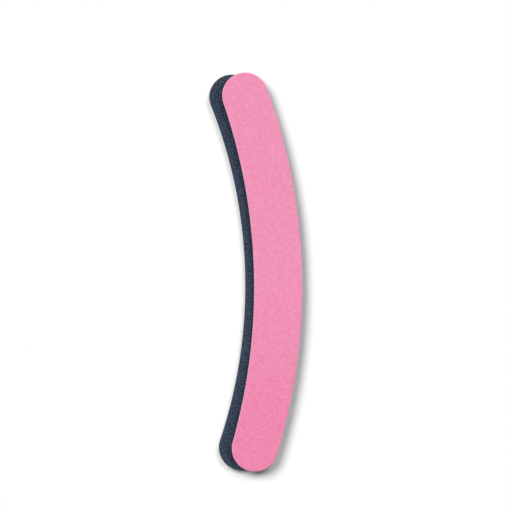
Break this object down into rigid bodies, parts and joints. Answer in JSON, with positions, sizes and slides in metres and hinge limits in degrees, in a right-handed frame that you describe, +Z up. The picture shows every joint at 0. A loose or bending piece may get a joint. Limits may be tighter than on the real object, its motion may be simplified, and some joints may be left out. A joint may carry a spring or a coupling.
{
  "type": "emery board",
  "caption": "Curved cushioned emery boards: a pink fine-grit board lying on a black coarse-grit board, each a foam and plastic laminate with an abrasive sheet on both faces.",
  "frame": {"origin": "on the black board's underside, at mid length and midway between its long edges", "axes": "+Z up out of the working faces, +Y along the boards, +X towards their convex edge"},
  "size_m": [0.0394, 0.178, 0.008],
  "materials": {
    "pink_grit": "matte",
    "black_grit": "matte",
    "pink_paper": "matte",
    "black_paper": "matte",
    "pink_foam": "matte",
    "black_foam": "matte",
    "tape": "satin",
    "core": "satin"
  },
  "bodies": {
    "black_board": {"black_bottom_grit": "black_grit", "black_bottom_paper": "black_paper", "black_bottom_paper_tape": "tape", "black_bottom_foam": "black_foam", "black_bottom_core_tape": "tape", "black_core": "core", "black_top_core_tape": "tape", "black_top_foam": "black_foam", "black_top_paper_tape": "tape", "black_top_paper": "black_paper", "black_top_grit": "black_grit"},
    "pink_board": {"pink_bottom_grit": "pink_grit", "pink_bottom_paper": "pink_paper", "pink_bottom_paper_tape": "tape", "pink_bottom_foam": "pink_foam", "pink_bottom_core_tape": "tape", "pink_core": "core", "pink_top_core_tape": "tape", "pink_top_foam": "pink_foam", "pink_top_paper_tape": "tape", "pink_top_paper": "pink_paper", "pink_top_grit": "pink_grit"}
  },
  "joints": [
    {"name": "pink_board_lift", "type": "slide", "parent": "black_board", "child": "pink_board", "axis": [0, 0, 1], "range_m": [0, 0.06]}
  ]
}
